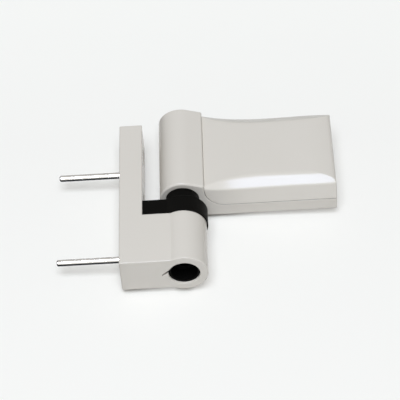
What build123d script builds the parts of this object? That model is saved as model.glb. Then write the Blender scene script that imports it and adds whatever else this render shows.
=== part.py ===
"""A two-part door hinge, whose leaf hangs on a pin that a screw raises, with a clip-on cover."""
import os
from math import cos, degrees, radians, sin, tan

from build123d import *

os.makedirs("parts", exist_ok=True)

# Barrel. Its axis is Y through the origin, and the origin is the centre of its lower end face
frame_barrel_radius = 11.2
leaf_barrel_radius = 10.9
frame_bore_radius = 7.4
leaf_bore_radius = 8.0
pin_radius = 6.0
running_gap = 0.05
press_gap = 0.02

# Frame bracket, a thick L cut from one extrusion
arm_length = 29.0
frame_length = 87.5
slab_thickness = 19.6
mounting_face_offset = 29.6
upright_width = 11.0
bar_edge_radius = 0.6
cut_edge = 0.3

# Screw holes through the upright
screw_hole_radius = 2.65
screw_head_radius = 4.1
screw_head_angle = 90
lower_screw_height = 45.8
screw_spacing = 28.8

# Locating pins in the mounting face
dowel_radius = 1.5
dowel_proud = 29.8
dowel_tip_chamfer = 0.5
dowel_shank_radius = 1.7
dowel_shank_depth = 8.0
dowel_shoulder = 0.3
lower_dowel_height = 10.3
dowel_spacing = 53.3

# Frame bush, with a flange that follows the bracket's section
flange_thickness = 9.3
flange_lip = 0.7
flange_step = 0.2
flange_edge = 0.4
bush_recess = 1.1
key_root_angle = 167.0
key_root_spread = 10.0
key_tip_angle = 184.0
key_reach = 2.8
key_tip_width = 0.5
key_gap = 0.1

# Height adjustment under the pin
screw_radius = 6.2
screw_length = 10.0
screw_recess = 6.0
screw_gap = 0.1
screw_chamfer = 0.7
hex_across_flats = 6.0
hex_depth = 6.0
height_travel = 4.0
travel_reserve = 1.0
disc_thickness = 1.5
disc_gap = 0.1
pin_end_chamfer = 0.8

# Leaf, extruded as a knuckle and a plate in one
leaf_gap = 7.5
leaf_length = 49.9
leaf_reach = 74.0
leaf_back = 12.2
leaf_plate_thickness = 6.6
leaf_flank = 10.7
leaf_root_radius = 9.8
leaf_shoulder_angle = 72.0
leaf_shoulder_radius = 1.0
leaf_end_chamfer = 0.7
leaf_heel = 3.0
leaf_heel_angle = 255.0
leaf_edge_radius = 0.5
leaf_hole_radius = 2.65
leaf_hole_head_radius = 5.0
leaf_hole_spacing_across = 26.0
leaf_hole_spacing_along = 25.0
first_leaf_hole = 34.0

# Rails on the leaf plate that hold the cover
rail_width = 2.0
rail_height = 3.5
rail_end_relief = 6.0
inner_rail_place = 24.0
outer_rail_inset = 7.5

# Bushes in the leaf
lower_bush_grip = 20.0
collar_float = 0.2
bush_spacing = 4.4
upper_bush_recess = 1.3
upper_bush_floor = 4.0

# Cover, hollow, with sloped margins that deepen from the knuckle and a top that rolls off at the end
cover_wall = 1.8
cover_end_wall = 4.2
cover_top = 6.4
seam_gap = 0.2
flank_gap = 0.05
cover_edge = 0.4
end_fall_length = 12.0
end_fall = 1.7
end_roll_length = 1.8
end_roll = 2.5
section_places = (0.0, 8.0, 19.0, 36.0)
margin_drops = (0.75, 2.35, 3.25, 3.3, 3.2)
wall_leans = (0.6, 1.1, 1.75, 2.1, 2.25)
margin_slope = 32.0
margin_blend = 0.18
grip_rib_width = 1.6
grip_gap = 0.1
grip_rib_relief = 6.0
rib_foot_gap = 0.5

# Places that follow from the sizes above
half_slab = slab_thickness / 2
upright_inner = upright_width - mounting_face_offset
flange_start = arm_length
flange_end = flange_start + flange_thickness
leaf_start = flange_end + leaf_gap
leaf_end = leaf_start + leaf_length
leaf_top = leaf_plate_thickness - leaf_back
frame_sleeve_radius = frame_bore_radius - press_gap
leaf_sleeve_radius = leaf_bore_radius - press_gap
pin_bore_radius = pin_radius + running_gap
screw_start = bush_recess + screw_recess
screw_end = screw_start + screw_length
screw_bore_end = screw_end + height_travel + travel_reserve
pin_start = screw_end + disc_thickness
lower_bush_end = leaf_start + lower_bush_grip
upper_bush_start = lower_bush_end + bush_spacing
upper_bush_end = leaf_end - upper_bush_recess
upper_disc_end = upper_bush_end - upper_bush_floor
pin_end = upper_disc_end - disc_thickness
disc_radius = pin_radius - disc_gap
leaf_middle = (leaf_start + leaf_end) / 2
rail_length = leaf_length - 2 * rail_end_relief
outer_rail_place = leaf_reach - outer_rail_inset
cover_start = leaf_flank + flank_gap
cover_end = leaf_reach - cover_end_wall
root_centre = (leaf_flank + leaf_root_radius, leaf_top + leaf_root_radius)


def across(height):
    """The plane square to the barrel at a height along it. Its normal points to the lower end."""
    return Plane.XZ.offset(-height)


def polar(radius, angle):
    """A point of a section, from the barrel's axis."""
    return (radius * cos(radians(angle)), radius * sin(radians(angle)))


def draw_key(gap):
    """The barb that stops the bush from turning, drawn larger all round by a gap."""
    root_spread = key_root_spread + degrees(gap / frame_bore_radius)
    tip_radius = frame_bore_radius + key_reach + gap
    tip_spread = degrees((key_tip_width / 2 + gap) / tip_radius)
    root_radius = (frame_bore_radius + screw_radius) / 2
    with BuildLine() as outline:
        Polyline(
            polar(root_radius, key_root_angle - root_spread),
            polar(frame_bore_radius, key_root_angle - root_spread),
            polar(tip_radius, key_tip_angle - tip_spread),
            polar(tip_radius, key_tip_angle + tip_spread),
            polar(frame_bore_radius, key_root_angle + root_spread),
            polar(root_radius, key_root_angle + root_spread),
            close=True,
        )
    make_face(outline.edges())


def draw_barred_round(left, half_height, radius):
    """A round about the barrel's axis with a bar that runs left from it."""
    Circle(radius)
    with Locations((left / 2, 0)):
        Rectangle(-left, 2 * half_height)


# Frame bracket
with BuildPart() as frame_bracket:
    with BuildSketch(across(0)):
        draw_barred_round(-mounting_face_offset, half_slab, frame_barrel_radius)
    extrude(amount=-arm_length)
    with BuildSketch(across(0)):
        with Locations((upright_width / 2 - mounting_face_offset, 0)):
            Rectangle(upright_width, slab_thickness)
    extrude(amount=-frame_length)
    long_edges = frame_bracket.edges().filter_by(Axis.Y)
    fillet(long_edges.group_by(Axis.X)[0], bar_edge_radius)
    upright_edges = frame_bracket.edges().filter_by(Axis.Y).filter_by_position(
        Axis.X, upright_inner - cut_edge, upright_inner + cut_edge
    )
    fillet(upright_edges, bar_edge_radius)
    chamfer(frame_bracket.faces().sort_by(Axis.Y)[0].edges(), cut_edge)
    chamfer(frame_bracket.faces().sort_by(Axis.Y)[-1].edges(), cut_edge)
    with BuildSketch(across(0)):
        Circle(frame_bore_radius)
        draw_key(key_gap)
    extrude(amount=-arm_length, mode=Mode.SUBTRACT)
    upright_face = Plane((upright_inner, lower_screw_height, 0), x_dir=(0, 1, 0), z_dir=(1, 0, 0))
    with Locations(upright_face):
        with Locations((0, 0), (screw_spacing, 0)):
            CounterSinkHole(screw_hole_radius, screw_head_radius, upright_width, screw_head_angle)
    mounting_face = Plane((-mounting_face_offset, lower_dowel_height, 0), x_dir=(0, 1, 0), z_dir=(-1, 0, 0))
    with Locations(mounting_face):
        with Locations((0, 0), (dowel_spacing, 0)):
            Hole(dowel_shank_radius + press_gap, depth=dowel_shank_depth)
frame_bracket.part.label = "frame_bracket"
export_step(frame_bracket.part, "parts/frame_bracket.step")

# Locating pins, two alike, each with a thicker shank that is pressed into the bracket
with BuildPart() as locating_pins:
    with BuildSketch(mounting_face.offset(-dowel_shank_depth)):
        with Locations((0, 0), (dowel_spacing, 0)):
            Circle(dowel_shank_radius)
    extrude(amount=dowel_shank_depth + dowel_shoulder)
    with BuildSketch(mounting_face.offset(dowel_shoulder)):
        with Locations((0, 0), (dowel_spacing, 0)):
            Circle(dowel_radius)
    extrude(amount=dowel_proud - dowel_shoulder)
    dowel_tips = locating_pins.edges().filter_by(GeomType.CIRCLE).group_by(Axis.X)[0]
    chamfer(dowel_tips, dowel_tip_chamfer)
locating_pins.part.label = "locating_pins"
export_step(locating_pins.part, "parts/locating_pins.step")

# Frame bush
with BuildPart() as frame_bush:
    with BuildSketch(across(flange_start)):
        draw_barred_round(upright_inner, half_slab - flange_step, frame_barrel_radius + flange_lip)
    extrude(amount=-flange_thickness)
    flange_rim = frame_bush.faces().sort_by(Axis.Y)[-1].edges()
    chamfer(flange_rim.sort_by(Axis.X)[1:], flange_edge)
    with BuildSketch(across(bush_recess)):
        Circle(frame_sleeve_radius)
        draw_key(0)
    extrude(amount=bush_recess - flange_start)
    with BuildSketch(across(bush_recess)):
        Circle(screw_radius + screw_gap)
    extrude(amount=bush_recess - screw_bore_end, mode=Mode.SUBTRACT)
    with BuildSketch(across(screw_bore_end)):
        Circle(pin_bore_radius)
    extrude(amount=screw_bore_end - flange_end, mode=Mode.SUBTRACT)
frame_bush.part.label = "frame_bush"
export_step(frame_bush.part, "parts/frame_bush.step")

# Height screw, turned by a hexagon key from the barrel's lower end
with BuildPart() as height_screw:
    with BuildSketch(across(screw_start)):
        Circle(screw_radius)
    extrude(amount=-screw_length)
    chamfer(height_screw.edges().filter_by(GeomType.CIRCLE), screw_chamfer)
    with BuildSketch(across(screw_start)):
        RegularPolygon(hex_across_flats / 2, 6, major_radius=False)
    extrude(amount=-hex_depth, mode=Mode.SUBTRACT)
height_screw.part.label = "height_screw"
export_step(height_screw.part, "parts/height_screw.step")


def thrust_disc(height):
    """A hardened disc that one end of the pin turns on."""
    with BuildPart() as disc:
        with BuildSketch(across(height)):
            Circle(disc_radius)
        extrude(amount=-disc_thickness)
    return disc.part


# Thrust discs under and over the pin
lower_thrust_disc = thrust_disc(screw_end)
lower_thrust_disc.label = "lower_thrust_disc"
export_step(lower_thrust_disc, "parts/lower_thrust_disc.step")
upper_thrust_disc = thrust_disc(pin_end)
upper_thrust_disc.label = "upper_thrust_disc"
export_step(upper_thrust_disc, "parts/upper_thrust_disc.step")

# Hinge pin
with BuildPart() as hinge_pin:
    with BuildSketch(across(pin_start)):
        Circle(pin_radius)
    extrude(amount=pin_start - pin_end)
    chamfer(hinge_pin.edges().filter_by(GeomType.CIRCLE), pin_end_chamfer)
hinge_pin.part.label = "hinge_pin"
export_step(hinge_pin.part, "parts/hinge_pin.step")


def draw_knuckle_section():
    """A round whose top runs off as a straight shoulder to the flank, and a square foot."""
    shoulder = radians(leaf_shoulder_angle)
    shoulder_height = (leaf_barrel_radius - leaf_flank * cos(shoulder)) / sin(shoulder)
    with BuildLine() as outline:
        ThreePointArc(
            polar(leaf_barrel_radius, leaf_shoulder_angle),
            (-leaf_barrel_radius, 0),
            (0, -leaf_barrel_radius),
        )
        Polyline(
            (0, -leaf_barrel_radius),
            (leaf_flank, -leaf_barrel_radius),
            (leaf_flank, shoulder_height),
            polar(leaf_barrel_radius, leaf_shoulder_angle),
        )
    make_face(outline.edges())


def draw_root(radius):
    """The hollow between the knuckle's flank and the plate, as an arc of the current outline."""
    middle = polar(radius, 225)
    ThreePointArc(
        (root_centre[0], root_centre[1] - radius),
        (root_centre[0] + middle[0], root_centre[1] + middle[1]),
        (root_centre[0] - radius, root_centre[1]),
    )


def draw_plate_section():
    """A flat plate whose root and heel run into the knuckle."""
    with BuildLine() as outline:
        Polyline(
            (leaf_flank, root_centre[1]),
            (0, 0),
            polar(leaf_barrel_radius, leaf_heel_angle),
            (leaf_heel, -leaf_back),
            (leaf_reach, -leaf_back),
            (leaf_reach, leaf_top),
            (root_centre[0], leaf_top),
        )
        draw_root(leaf_root_radius)
    make_face(outline.edges())


# Leaf, with a wider chamfer round the lower end of its knuckle
with BuildPart() as leaf_plate:
    with BuildSketch(across(leaf_start)):
        draw_knuckle_section()
    extrude(amount=-leaf_length)
    shoulder_edge = leaf_plate.edges().filter_by(Axis.Y).sort_by(Axis.X)[-2:].sort_by(Axis.Z)[-1]
    fillet(shoulder_edge, leaf_shoulder_radius)
    chamfer(leaf_plate.faces().sort_by(Axis.Y)[0].edges().filter_by(GeomType.CIRCLE), leaf_end_chamfer)
    chamfer(leaf_plate.faces().sort_by(Axis.Y)[-1].edges().filter_by(GeomType.CIRCLE), cut_edge)
    with BuildSketch(across(leaf_start)):
        draw_plate_section()
    extrude(amount=-leaf_length)
    leaf_corners = leaf_plate.edges().filter_by(Axis.Y).group_by(Axis.X)[-1]
    fillet(leaf_corners, leaf_edge_radius)
    with BuildSketch(across(leaf_start + rail_end_relief)):
        with Locations((inner_rail_place, leaf_top), (outer_rail_place, leaf_top)):
            Rectangle(rail_width, rail_height, align=(Align.CENTER, Align.MIN))
    extrude(amount=-rail_length)
    with BuildSketch(across(leaf_start)):
        Circle(leaf_bore_radius)
    extrude(amount=-leaf_length, mode=Mode.SUBTRACT)
    hole_centre = (first_leaf_hole + leaf_hole_spacing_across / 2, leaf_middle, leaf_top)
    with Locations(hole_centre):
        with GridLocations(leaf_hole_spacing_across, leaf_hole_spacing_along, 2, 2):
            CounterSinkHole(leaf_hole_radius, leaf_hole_head_radius, leaf_plate_thickness)
leaf_plate.part.label = "leaf_plate"
export_step(leaf_plate.part, "parts/leaf_plate.step")

# Lower leaf bush, whose collar stands out of the knuckle down to the flange
with BuildPart() as leaf_lower_bush:
    collar_start = flange_end + collar_float
    with BuildSketch(across(collar_start)):
        Circle(leaf_sleeve_radius)
        Circle(pin_bore_radius, mode=Mode.SUBTRACT)
    extrude(amount=collar_start - lower_bush_end)
leaf_lower_bush.part.label = "leaf_lower_bush"
export_step(leaf_lower_bush.part, "parts/leaf_lower_bush.step")

# Upper leaf bush, closed at the top, which hangs the leaf on the pin
with BuildPart() as leaf_upper_bush:
    with BuildSketch(across(upper_bush_start)):
        Circle(leaf_sleeve_radius)
    extrude(amount=upper_bush_start - upper_bush_end)
    with BuildSketch(across(upper_bush_start)):
        Circle(pin_bore_radius)
    extrude(amount=upper_bush_start - upper_disc_end, mode=Mode.SUBTRACT)
    chamfer(leaf_upper_bush.edges().filter_by(GeomType.CIRCLE).group_by(Axis.Y)[-1], screw_chamfer)
leaf_upper_bush.part.label = "leaf_upper_bush"
export_step(leaf_upper_bush.part, "parts/leaf_upper_bush.step")


def draw_cover_section(lean, drop, wall):
    """A section across the cover, smaller by a wall: leaning sides, sloped margins and a flat top."""
    low, high = leaf_start + wall, leaf_end - wall
    top = cover_top - wall
    edge = top - drop
    foot = lean * (leaf_top + leaf_back) / (edge - leaf_top)
    slope = radians(margin_slope)
    width = drop / tan(slope) / (1 - margin_blend)
    blend = margin_blend * width
    run = width - blend - blend * cos(slope)
    rise = run * tan(slope)
    with BuildLine() as outline:
        Polyline(
            (low + lean + run, edge + rise),
            (low + lean, edge),
            (low - foot, -leaf_back),
            (high + foot, -leaf_back),
            (high - lean, edge),
            (high - lean - run, edge + rise),
        )
        TangentArc(
            (low + lean + run, edge + rise),
            (low + lean + width, top),
            tangent=(cos(slope), sin(slope)),
        )
        Line((low + lean + width, top), (high - lean - width, top))
        TangentArc(
            (high - lean - run, edge + rise),
            (high - lean - width, top),
            tangent=(-cos(slope), sin(slope)),
        )
    make_face(outline.edges())


def draw_end_clearance():
    """What the top's fall and roll take off over the free end."""
    with BuildLine() as outline:
        fall = TangentArc(
            (leaf_reach - end_fall_length, cover_top),
            (leaf_reach - end_roll_length, cover_top - end_fall),
            tangent=(1, 0),
        )
        roll = TangentArc(fall @ 1, (leaf_reach, cover_top - end_fall - end_roll), tangent=fall % 1)
        Polyline(
            roll @ 1,
            (2 * leaf_reach, cover_top - end_fall - end_roll),
            (2 * leaf_reach, 2 * cover_top),
            (leaf_reach - end_fall_length, 2 * cover_top),
            fall @ 0,
        )
    make_face(outline.edges())


def draw_leaf_clearance():
    """All that the leaf takes up under and beside the cover, with the seams' gaps added."""
    with BuildLine() as outline:
        Polyline(
            (leaf_flank + flank_gap, root_centre[1]),
            (leaf_flank + flank_gap, 2 * cover_top),
            (0, 2 * cover_top),
            (0, -2 * leaf_back),
            (2 * leaf_reach, -2 * leaf_back),
            (2 * leaf_reach, leaf_top + seam_gap),
            (root_centre[0], leaf_top + seam_gap),
        )
        draw_root(leaf_root_radius - seam_gap)
        Line((leaf_flank + seam_gap, root_centre[1]), (leaf_flank + flank_gap, root_centre[1]))
    make_face(outline.edges())


# Cover
with BuildPart() as leaf_cover:
    places = [cover_start + place for place in section_places] + [leaf_reach]
    for place, lean, drop in zip(places, wall_leans, margin_drops):
        with BuildSketch(Plane.YZ.offset(place)):
            draw_cover_section(lean, drop, 0)
    loft()
    wall_edges = leaf_cover.edges().filter_by_position(Axis.Z, leaf_top, cover_top - margin_drops[1])
    long_rims = wall_edges.sort_by(SortBy.LENGTH)[-2:]
    end_edges = leaf_cover.faces().sort_by(Axis.X)[-1].edges().sort_by(Axis.Y)
    chamfer(long_rims + [end_edges[0], end_edges[-1]], cover_edge)
    with BuildSketch(across(leaf_middle)):
        draw_end_clearance()
    extrude(amount=leaf_length, both=True, mode=Mode.SUBTRACT)
    with BuildSketch(Plane.YZ.offset(cover_start + cover_wall)):
        draw_cover_section(wall_leans[-1], margin_drops[-1], cover_wall)
    extrude(amount=cover_end - cover_start - cover_wall, mode=Mode.SUBTRACT)
    with BuildSketch(Plane.XY.offset(leaf_top + rib_foot_gap)):
        rail_offset = (rail_width + grip_rib_width) / 2 + grip_gap
        with Locations(
            (inner_rail_place - rail_offset, leaf_middle), (outer_rail_place + rail_offset, leaf_middle)
        ):
            Rectangle(grip_rib_width, rail_length - grip_rib_relief)
    extrude(amount=cover_top - cover_wall / 2 - leaf_top - rib_foot_gap)
    with BuildSketch(across(leaf_middle)):
        draw_leaf_clearance()
    extrude(amount=leaf_length, both=True, mode=Mode.SUBTRACT)
leaf_cover.part.label = "leaf_cover"
export_step(leaf_cover.part, "parts/leaf_cover.step")
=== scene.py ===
import math

import bmesh
import bpy
from mathutils import Matrix, Vector


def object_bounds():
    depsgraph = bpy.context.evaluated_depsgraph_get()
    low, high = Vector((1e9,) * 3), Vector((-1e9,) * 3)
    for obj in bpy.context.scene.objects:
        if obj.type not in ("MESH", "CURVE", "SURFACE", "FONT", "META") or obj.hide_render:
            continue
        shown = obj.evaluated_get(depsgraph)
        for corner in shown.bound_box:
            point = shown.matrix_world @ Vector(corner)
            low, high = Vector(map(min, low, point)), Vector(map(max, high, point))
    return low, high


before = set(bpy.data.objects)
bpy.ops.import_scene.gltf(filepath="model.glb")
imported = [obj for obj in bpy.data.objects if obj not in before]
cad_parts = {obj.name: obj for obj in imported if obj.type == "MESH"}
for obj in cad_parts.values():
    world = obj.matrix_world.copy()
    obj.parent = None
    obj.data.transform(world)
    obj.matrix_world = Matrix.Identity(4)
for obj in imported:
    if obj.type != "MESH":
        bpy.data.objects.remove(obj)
cad_low, cad_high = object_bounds()
scene = bpy.context.scene
scene.view_settings.view_transform = "Standard"
mm = 0.001

# Camera. It stands at the barrel's lower end and looks down on the hinge as it lies flat, through a
# long lens, tipped a little out of the level.
camera_look = math.radians(48.334)
camera_turn = math.radians(-2.150)
camera_roll = math.radians(-4.837)
camera_distance = 859.84 * mm
camera_target = Vector((8.371 * mm, 44.814 * mm, 0))
film_width = 36
lens_length = 161.71
nearest_seen = 0.05
farthest_seen = 20

camera = bpy.data.cameras.new("photo_camera")
camera.sensor_width = film_width
camera.lens = lens_length
camera.clip_start = nearest_seen
camera.clip_end = farthest_seen
forward = Vector((
    math.sin(camera_turn) * math.cos(camera_look),
    math.cos(camera_turn) * math.cos(camera_look),
    -math.sin(camera_look),
))
level_right = Vector((math.cos(camera_turn), -math.sin(camera_turn), 0))
level_up = level_right.cross(forward)
right = level_right * math.cos(camera_roll) + level_up * math.sin(camera_roll)
up = level_up * math.cos(camera_roll) - level_right * math.sin(camera_roll)
turned = Matrix((right, up, -forward)).transposed().to_4x4()
moved = Matrix.Translation(camera_target - forward * camera_distance)
camera_object = bpy.data.objects.new("photo_camera", camera)
camera_object.matrix_world = moved @ turned
scene.collection.objects.link(camera_object)
scene.camera = camera_object


# Floor. A sheet of white paper that falls away a little towards the leaf's free end, as the shadow
# there shows. It glows to look overexposed, and the glow is taken away in a thin painted shade
# where the hinge comes close to it. Beside the bracket it is painted dark for mirror rays only, a
# painted reflection of a dark table in the locating pins.
floor_size = 3.0
floor_clearance = 0.6 * mm
floor_fall = math.radians(3.0)
floor_pivot = Vector((-25 * mm, 0, cad_low.z - floor_clearance))
paper = (0.68, 0.68, 0.67, 1)
paper_seen = (0.60, 0.58, 0.525, 1)
paper_far = (0.71, 0.70, 0.63, 1)
paper_near_y = 0.10
paper_far_y = 0.40
paper_glow = 0.35
paper_roughness = 0.9
paper_gloss = 0.1
contact_reach = 4 * mm
contact_shut = 0.42
contact_open = 0.85
contact_samples = 8
# Painted reflection: a dark table beside the bracket that only mirror rays see.
painted_reflection_dark = (0.04, 0.04, 0.04, 1)
painted_reflection_from_x = -27 * mm
painted_reflection_to_x = -31 * mm


def graded(tree, value, low, high, at_low=0, at_high=1, smooth=False):
    """A number that goes from at_low to at_high while a value goes from low to high."""
    grade = tree.nodes.new("ShaderNodeMapRange")
    if smooth:
        grade.interpolation_type = "SMOOTHSTEP"
    grade.inputs["From Min"].default_value = low
    grade.inputs["From Max"].default_value = high
    grade.inputs["To Min"].default_value = at_low
    grade.inputs["To Max"].default_value = at_high
    tree.links.new(value, grade.inputs["Value"])
    return grade.outputs["Result"]


def mixed(tree, share, first, second):
    """The first colour where the share is 0 and the second where it is 1."""
    mix = tree.nodes.new("ShaderNodeMix")
    mix.data_type = "RGBA"
    tree.links.new(share, mix.inputs["Factor"])
    for side, colour in (("A", first), ("B", second)):
        if isinstance(colour, tuple):
            mix.inputs[side].default_value = colour
        else:
            tree.links.new(colour, mix.inputs[side])
    return mix.outputs["Result"]


def joined(tree, operation, first, second):
    """The product or the larger of two numbers."""
    join = tree.nodes.new("ShaderNodeMath")
    join.operation = operation
    tree.links.new(first, join.inputs[0])
    tree.links.new(second, join.inputs[1])
    return join.outputs[0]


floor_mesh = bpy.data.meshes.new("floor")
shape = bmesh.new()
bmesh.ops.create_grid(shape, x_segments=1, y_segments=1, size=floor_size)
bmesh.ops.rotate(shape, verts=shape.verts, matrix=Matrix.Rotation(floor_fall, 3, "Y"))
bmesh.ops.translate(shape, verts=shape.verts, vec=floor_pivot)
shape.to_mesh(floor_mesh)
shape.free()
floor = bpy.data.objects.new("floor", floor_mesh)
scene.collection.objects.link(floor)

paper_material = bpy.data.materials.new("white_paper")
paper_material.use_nodes = True
tree = paper_material.node_tree
place = tree.nodes.new("ShaderNodeTexCoord")
along = tree.nodes.new("ShaderNodeSeparateXYZ")
tree.links.new(place.outputs["Object"], along.inputs[0])
path = tree.nodes.new("ShaderNodeLightPath")
seen = joined(tree, "MAXIMUM", path.outputs["Is Camera Ray"], path.outputs["Is Glossy Ray"])

away = graded(tree, along.outputs["Y"], paper_near_y, paper_far_y)
tone = mixed(tree, seen, paper, mixed(tree, away, paper_seen, paper_far))
sheet = tree.nodes["Principled BSDF"]
sheet.inputs["Roughness"].default_value = paper_roughness
sheet.inputs["Specular IOR Level"].default_value = paper_gloss
tree.links.new(tone, sheet.inputs["Base Color"])

# Painted shade: the paper's glow fades out where the hinge comes close, a painted contact shadow.
contact_shade_probe = tree.nodes.new("ShaderNodeAmbientOcclusion")
contact_shade_probe.samples = contact_samples
contact_shade_probe.inputs["Distance"].default_value = contact_reach
glow_but_painted_contact_shade = graded(tree, contact_shade_probe.outputs["AO"], contact_shut, contact_open, 0, paper_glow)
glow = tree.nodes.new("ShaderNodeEmission")
tree.links.new(joined(tree, "MULTIPLY", seen, glow_but_painted_contact_shade), glow.inputs["Strength"])
overexposed = tree.nodes.new("ShaderNodeAddShader")
tree.links.new(sheet.outputs[0], overexposed.inputs[0])
tree.links.new(glow.outputs[0], overexposed.inputs[1])

# Painted reflection: beside the bracket the floor is dark for mirror rays only, so the pins mirror
# a dark table.
painted_reflection_bsdf = tree.nodes.new("ShaderNodeBsdfDiffuse")
painted_reflection_bsdf.inputs["Color"].default_value = painted_reflection_dark
painted_reflection_share = graded(tree, along.outputs["X"], painted_reflection_from_x, painted_reflection_to_x)
mirrored_painted_reflection = joined(tree, "MULTIPLY", painted_reflection_share, path.outputs["Is Glossy Ray"])
paper_or_painted_reflection = tree.nodes.new("ShaderNodeMixShader")
tree.links.new(mirrored_painted_reflection, paper_or_painted_reflection.inputs["Fac"])
tree.links.new(overexposed.outputs[0], paper_or_painted_reflection.inputs[1])
tree.links.new(painted_reflection_bsdf.outputs[0], paper_or_painted_reflection.inputs[2])
tree.links.new(paper_or_painted_reflection.outputs[0], tree.nodes["Material Output"].inputs["Surface"])
floor_mesh.materials.append(paper_material)


# Studio light. One wide softbox hangs high and a little in front of the hinge, as the pins' shadows
# show. The room is a warm white on the camera's side and greyer beyond the hinge.
key_place = Vector((-0.03, -1.08, 2.58))
key_width = 1.35
key_height = 1.30
key_power = 70.5
key_colour = (0.91, 0.985, 1.12)
room_warm = (1.0, 0.97, 0.90, 1)
room_beyond = (0.62, 0.60, 0.56, 1)
beyond_from = 0.35
beyond_to = -0.15
room_strength = 0.27
room_in_gloss = 1.0

lamp = bpy.data.lights.new("key_softbox", "AREA")
lamp.shape = "RECTANGLE"
lamp.size = key_width
lamp.size_y = key_height
lamp.energy = key_power
lamp.color = key_colour
lamp_object = bpy.data.objects.new("key_softbox", lamp)
lamp_object.location = key_place
lamp_object.rotation_euler = (-key_place).to_track_quat("-Z", "Y").to_euler()
scene.collection.objects.link(lamp_object)

room = bpy.data.worlds.new("white_room")
room.use_nodes = True
tree = room.node_tree
background = tree.nodes["Background"]
place = tree.nodes.new("ShaderNodeTexCoord")
direction = tree.nodes.new("ShaderNodeSeparateXYZ")
tree.links.new(place.outputs["Generated"], direction.inputs[0])
near_side = graded(tree, direction.outputs["Y"], beyond_from, beyond_to, smooth=True)
tone = mixed(tree, near_side, room_beyond, room_warm)
tree.links.new(tone, background.inputs["Color"])
path = tree.nodes.new("ShaderNodeLightPath")
seen = joined(tree, "MAXIMUM", path.outputs["Is Camera Ray"], path.outputs["Is Glossy Ray"])
strength = graded(tree, seen, 0, 1, room_strength, room_in_gloss)
tree.links.new(strength, background.inputs["Strength"])
scene.world = room


# Frame bracket, leaf plate and cover. Bracket and leaf are cut from aluminium extrusions, and the
# cover is a moulding that clips on. All three have the same smooth, warm grey lacquer with a faint
# peel, which rolls softly over the edges. Shade is painted dark into the seams.
lacquer_light = (0.722, 0.667, 0.582, 1)
lacquer_dark = (0.702, 0.647, 0.559, 1)
cloud_scale = 45
cloud_detail = 3
lacquer_roughness = 0.17
lacquer_gloss = 0.254
gloss_tint = (0.787, 0.852, 1.0, 1)
peel_scale = 900
peel_strength = 0.05
peel_depth = 0.03 * mm
edge_roll = 0.6 * mm
edge_samples = 12
# Painted shade: the colour the lacquer turns where the seams close in.
painted_seam_shade = (0.05, 0.045, 0.04, 1)
seam_shade_reach = 0.8 * mm
seam_shade_shut = 0.15
seam_shade_open = 0.5
seam_shade_samples = 8


def node_material(name, node_names):
    """A material with its Principled shader, put on CAD nodes in place of what they came with."""
    material = bpy.data.materials.new(name)
    material.use_nodes = True
    for node_name in node_names:
        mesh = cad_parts[node_name].data
        mesh.materials.clear()
        mesh.materials.append(material)
    return material.node_tree, material.node_tree.nodes["Principled BSDF"]


def noise(tree, place, scale, detail=2):
    """Even noise over a place."""
    texture = tree.nodes.new("ShaderNodeTexNoise")
    texture.inputs["Scale"].default_value = scale
    texture.inputs["Detail"].default_value = detail
    tree.links.new(place, texture.inputs["Vector"])
    return texture.outputs["Fac"]


def relief(tree, height, strength, depth):
    """A fine relief, as the node that gives its normal."""
    bump = tree.nodes.new("ShaderNodeBump")
    bump.inputs["Strength"].default_value = strength
    bump.inputs["Distance"].default_value = depth
    tree.links.new(height, bump.inputs["Height"])
    return bump


tree, lacquer = node_material("grey_lacquer", ["frame_bracket", "leaf_plate", "leaf_cover"])
place = tree.nodes.new("ShaderNodeTexCoord").outputs["Object"]
clouds = noise(tree, place, cloud_scale, cloud_detail)
tone = mixed(tree, clouds, lacquer_light, lacquer_dark)
# Painted shade: the lacquer's colour goes dark where the seams between parts close in.
seam_shade_probe = tree.nodes.new("ShaderNodeAmbientOcclusion")
seam_shade_probe.samples = seam_shade_samples
seam_shade_probe.inputs["Distance"].default_value = seam_shade_reach
clear_of_seam_shade = graded(tree, seam_shade_probe.outputs["AO"], seam_shade_shut, seam_shade_open)
tree.links.new(mixed(tree, clear_of_seam_shade, painted_seam_shade, tone), lacquer.inputs["Base Color"])
edge = tree.nodes.new("ShaderNodeBevel")
edge.samples = edge_samples
edge.inputs["Radius"].default_value = edge_roll
peel = relief(tree, noise(tree, place, peel_scale), peel_strength, peel_depth)
tree.links.new(edge.outputs["Normal"], peel.inputs["Normal"])
tree.links.new(peel.outputs["Normal"], lacquer.inputs["Normal"])
lacquer.inputs["Roughness"].default_value = lacquer_roughness
lacquer.inputs["Specular IOR Level"].default_value = lacquer_gloss
lacquer.inputs["Specular Tint"].default_value = gloss_tint


# Bushes. Moulded in black plastic and pressed into the knuckles. The grain is fine and even, a
# little glossier in patches where the mould is polished by wear.
plastic_dark = (0.0015, 0.0014, 0.0012, 1)
plastic_light = (0.0040, 0.0037, 0.0032, 1)
patch_scale = 120
patch_detail = 4
plastic_rough = 0.55
plastic_smooth = 0.35
plastic_gloss = 0.05
grain_scale = 3500
grain_strength = 0.25
grain_depth = 0.02 * mm

bushes = ["frame_bush", "leaf_lower_bush", "leaf_upper_bush"]
tree, plastic = node_material("black_moulding", bushes)
place = tree.nodes.new("ShaderNodeTexCoord").outputs["Object"]
patches = noise(tree, place, patch_scale, patch_detail)
tone = mixed(tree, patches, plastic_dark, plastic_light)
tree.links.new(tone, plastic.inputs["Base Color"])
roughness = graded(tree, patches, 0, 1, plastic_rough, plastic_smooth)
tree.links.new(roughness, plastic.inputs["Roughness"])
grain = relief(tree, noise(tree, place, grain_scale), grain_strength, grain_depth)
tree.links.new(grain.outputs["Normal"], plastic.inputs["Normal"])
plastic.inputs["Specular IOR Level"].default_value = plastic_gloss


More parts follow.
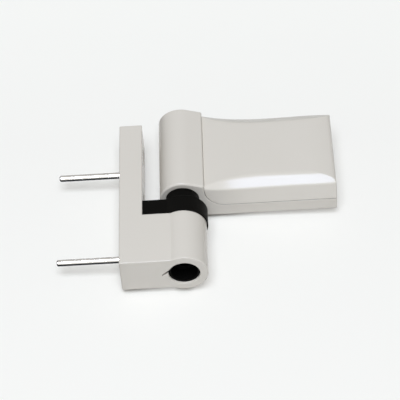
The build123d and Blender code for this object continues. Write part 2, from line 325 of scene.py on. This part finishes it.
# Locating pins. Two steel dowels, ground round and zinc plated, with fine grinding lines around
# them. Each is pressed into the bracket's mounting face.
steel_dark = (0.83, 0.83, 0.84, 1)
steel_light = (0.89, 0.89, 0.89, 1)
steel_smooth = 0.12
steel_rough = 0.22
line_detail = 3
line_strength = 0.1
line_depth = 0.005 * mm
lines_around_x = (6000, 250, 250)


def ground_steel(name, node_names, stretch):
    """Bright steel with fine grinding lines across the axis that the noise is squeezed along."""
    tree, steel = node_material(name, node_names)
    place = tree.nodes.new("ShaderNodeTexCoord")
    squeeze = tree.nodes.new("ShaderNodeMapping")
    squeeze.inputs["Scale"].default_value = stretch
    tree.links.new(place.outputs["Object"], squeeze.inputs["Vector"])
    lines = noise(tree, squeeze.outputs["Vector"], scale=1, detail=line_detail)
    tree.links.new(mixed(tree, lines, steel_dark, steel_light), steel.inputs["Base Color"])
    roughness = graded(tree, lines, 0, 1, steel_smooth, steel_rough)
    tree.links.new(roughness, steel.inputs["Roughness"])
    scratches = relief(tree, lines, line_strength, line_depth)
    tree.links.new(scratches.outputs["Normal"], steel.inputs["Normal"])
    steel.inputs["Metallic"].default_value = 1


ground_steel("ground_dowels", ["locating_pins"], lines_around_x)


# Hinge pin and thrust discs. Turned from steel bar and ground, then greased and hidden in the
# barrel, where the pin turns in the bushes and a disc bears on each of its ends.
lines_around_y = (250, 6000, 250)

hidden_steel = ["hinge_pin", "lower_thrust_disc", "upper_thrust_disc"]
ground_steel("turned_steel", hidden_steel, lines_around_y)


# Height screw. Steel with a mottled black oxide finish, seen in the barrel's lower end, where a
# hexagon key turns it to lift the pin.
oxide_dark = (0.002, 0.002, 0.0025, 1)
oxide_light = (0.010, 0.0095, 0.009, 1)
mottle_scale = 700
mottle_detail = 5
oxide_rough = 0.50
oxide_smooth = 0.32
oxide_metal = 0.3
oxide_gloss = 0.1

tree, oxide = node_material("black_oxide", ["height_screw"])
place = tree.nodes.new("ShaderNodeTexCoord").outputs["Object"]
mottle = noise(tree, place, mottle_scale, mottle_detail)
tree.links.new(mixed(tree, mottle, oxide_dark, oxide_light), oxide.inputs["Base Color"])
roughness = graded(tree, mottle, 0, 1, oxide_rough, oxide_smooth)
tree.links.new(roughness, oxide.inputs["Roughness"])
oxide.inputs["Metallic"].default_value = oxide_metal
oxide.inputs["Specular IOR Level"].default_value = oxide_gloss
